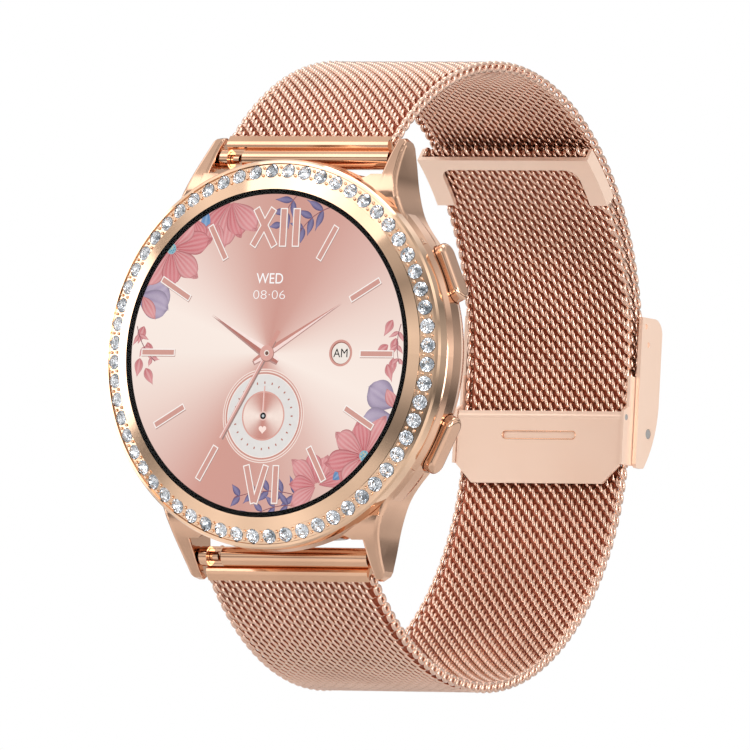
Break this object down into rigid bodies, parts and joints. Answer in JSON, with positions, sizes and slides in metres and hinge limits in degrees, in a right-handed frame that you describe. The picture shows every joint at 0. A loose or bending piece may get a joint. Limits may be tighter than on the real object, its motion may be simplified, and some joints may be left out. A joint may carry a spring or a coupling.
{
  "type": "smartwatch",
  "caption": "Round smartwatch with a stone-set bezel, flared lugs, two pill pushers and a woven metal mesh strap closed into a loop by a flanged sliding clasp.",
  "frame": {"origin": "centre of the wrist opening: 28 mm behind the dial centre, on the dial's axis", "axes": "+Z towards 12 o'clock, +X towards 3 o'clock and the pushers, -Y out of the dial"},
  "size_m": [0.0394, 0.0594, 0.0635],
  "materials": {
    "case_metal": "polished rose-gold plating",
    "bezel_metal": "mirror-polished rose-gold plating",
    "mesh_metal": "woven wire, rose-gold plating",
    "clasp_metal": "satin rose-gold plating",
    "bright_steel": "bright steel",
    "spring_steel": "drawn wire",
    "stone": "cut clear glass",
    "glass": "flat clear glass",
    "display": "lit display",
    "black_plastic": "black plastic",
    "frame_plastic": "moulded plastic",
    "rubber": "elastomer",
    "board": "solder mask",
    "cell": "foil pouch",
    "shield": "tinned sheet",
    "flex": "polyimide film",
    "gold_contact": "gold plated",
    "back_plastic": "rose-gold painted plastic"
  },
  "bodies": {
    "case": {"case_middle": "case_metal", "cover_glass": "glass", "display_panel": "display", "display_seal": "rubber", "bezel_ring": "bezel_metal", "bezel_stones": "stone", "back_cover": "back_plastic", "back_seal": "rubber", "sensor_window": "black_plastic", "back_screws": "bright_steel", "charging_contacts": "gold_contact", "charging_magnets": "bright_steel", "inner_frame": "frame_plastic", "main_board": "board", "shield_can": "shield", "display_flex": "flex", "battery": "cell", "motor_can": "bright_steel", "speaker": "frame_plastic", "microphone": "shield", "sensor_board": "board", "sensor_optics": "black_plastic", "tact_switches": "frame_plastic", "pusher_spring_upper": "spring_steel", "pusher_spring_lower": "spring_steel"},
    "motor_rotor": {"motor_rotor": "bright_steel"},
    "pusher_upper": {"pusher_upper": "case_metal", "pusher_clip_upper": "spring_steel", "pusher_seal_upper": "rubber"},
    "pusher_lower": {"pusher_lower": "case_metal", "pusher_clip_lower": "spring_steel", "pusher_seal_lower": "rubber"},
    "strap_upper": {"hinge_tube_upper": "bezel_metal", "spring_bar_upper": "bright_steel", "release_spring_upper": "spring_steel", "mesh_upper": "mesh_metal", "crimp_bar_upper": "clasp_metal", "upper_end_bar": "clasp_metal"},
    "strap_lower": {"hinge_tube_lower": "bezel_metal", "spring_bar_lower": "bright_steel", "release_spring_lower": "spring_steel", "mesh_lower": "mesh_metal", "crimp_bar_lower": "clasp_metal", "tail_tip": "clasp_metal", "clasp_slider": "clasp_metal", "lock_pin": "bright_steel"},
    "release_tip_upper": {"release_tip_upper": "bright_steel"},
    "release_tip_lower": {"release_tip_lower": "bright_steel"},
    "clasp_cover": {"clasp_cover": "clasp_metal", "cover_pin": "bright_steel"},
    "lock_plate": {"lock_plate": "clasp_metal"}
  },
  "joints": [
    {"name": "pusher_upper_press", "type": "slide", "parent": "case", "child": "pusher_upper", "axis": [-0.9026, 0, -0.4305], "range_m": [0, 0.0004], "stiffness_N_per_m": 2500, "springref_m": -0.0004, "deforming": ["pusher_spring_upper"]},
    {"name": "pusher_lower_press", "type": "slide", "parent": "case", "child": "pusher_lower", "axis": [-0.9026, 0, 0.4305], "range_m": [0, 0.0004], "stiffness_N_per_m": 2500, "springref_m": -0.0004, "deforming": ["pusher_spring_lower"]},
    {"name": "strap_upper_hinge", "type": "hinge", "parent": "case", "child": "strap_upper", "pos_m": [0, -0.022, 0.0199], "axis": [1, 0, 0], "range_deg": [0, 65]},
    {"name": "strap_lower_hinge", "type": "hinge", "parent": "case", "child": "strap_lower", "pos_m": [0, -0.022, -0.0199], "axis": [-1, 0, 0], "range_deg": [0, 39]},
    {"name": "release_tip_upper_slide", "type": "slide", "parent": "strap_upper", "child": "release_tip_upper", "axis": [1, 0, 0], "range_m": [0, 0.0009], "stiffness_N_per_m": 900, "springref_m": -0.0006, "deforming": ["release_spring_upper"]},
    {"name": "release_tip_lower_slide", "type": "slide", "parent": "strap_lower", "child": "release_tip_lower", "axis": [1, 0, 0], "range_m": [0, 0.0009], "stiffness_N_per_m": 900, "springref_m": -0.0006, "deforming": ["release_spring_lower"]},
    {"name": "clasp_cover_hinge", "type": "hinge", "parent": "strap_upper", "child": "clasp_cover", "pos_m": [0, 0.0294, -0.003], "axis": [-1, 0, 0], "range_deg": [0, 95]},
    {"name": "lock_plate_hinge", "type": "hinge", "parent": "strap_lower", "child": "lock_plate", "pos_m": [0, 0.0258, -0.0016], "axis": [-1, 0, 0], "range_deg": [0, 60]},
    {"name": "motor_spin", "type": "hinge", "parent": "case", "child": "motor_rotor", "pos_m": [-0.0054, -0.0221, -0.0107], "axis": [0, 1, 0], "continuous": true}
  ],
  "couplings": [
    {"joint": "strap_lower_hinge", "follows": "strap_upper_hinge", "ratio": 0.6}
  ]
}
